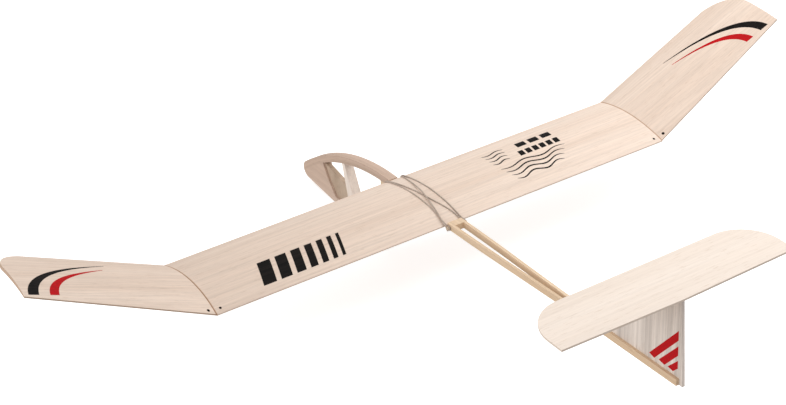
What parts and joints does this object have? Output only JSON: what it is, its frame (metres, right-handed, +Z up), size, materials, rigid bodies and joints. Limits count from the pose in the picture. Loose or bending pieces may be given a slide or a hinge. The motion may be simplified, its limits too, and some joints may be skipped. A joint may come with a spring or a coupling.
{
  "type": "hand_glider",
  "caption": "Balsa sheet hand glider with upswept wing tips, a wing held by a crossed rubber band on an open nose frame, a slim split boom and a T tail",
  "frame": {"origin": "below the middle of the glider's bounding box, on the plane that the keel stands on", "axes": "+X towards the left wing tip, -Y towards the nose, +Z up"},
  "size_m": [0.8676, 0.6057, 0.169],
  "materials": {
    "wing_balsa": "satin",
    "tail_balsa": "satin",
    "pine": "satin",
    "birch": "satin",
    "rubber": "matte",
    "steel": "satin"
  },
  "bodies": {
    "fuselage": {"nose_block": "pine", "nose_weight": "steel", "nose_gusset": "pine", "top_longeron": "pine", "window_post": "pine", "keel_strip": "pine", "seat_rail": "pine", "boom_strip_left": "pine", "boom_strip_right": "pine", "tail_fin": "tail_balsa", "tailplane": "tail_balsa", "front_dowel": "birch", "rear_dowel": "birch", "rubber_band": "rubber"},
    "wing": {"wing_centre_panel": "wing_balsa", "wing_tip_left": "wing_balsa", "wing_tip_right": "wing_balsa", "rib_centre": "wing_balsa", "rib_left_1": "wing_balsa", "rib_right_1": "wing_balsa", "rib_left_2": "wing_balsa", "rib_right_2": "wing_balsa", "rib_left_3": "wing_balsa", "rib_right_3": "wing_balsa"}
  },
  "joints": [
    {"name": "wing_trim", "type": "slide", "parent": "fuselage", "child": "wing", "axis": [0, 1, 0], "range_m": [-0.002, 0.002], "deforming": ["rubber_band"]}
  ]
}
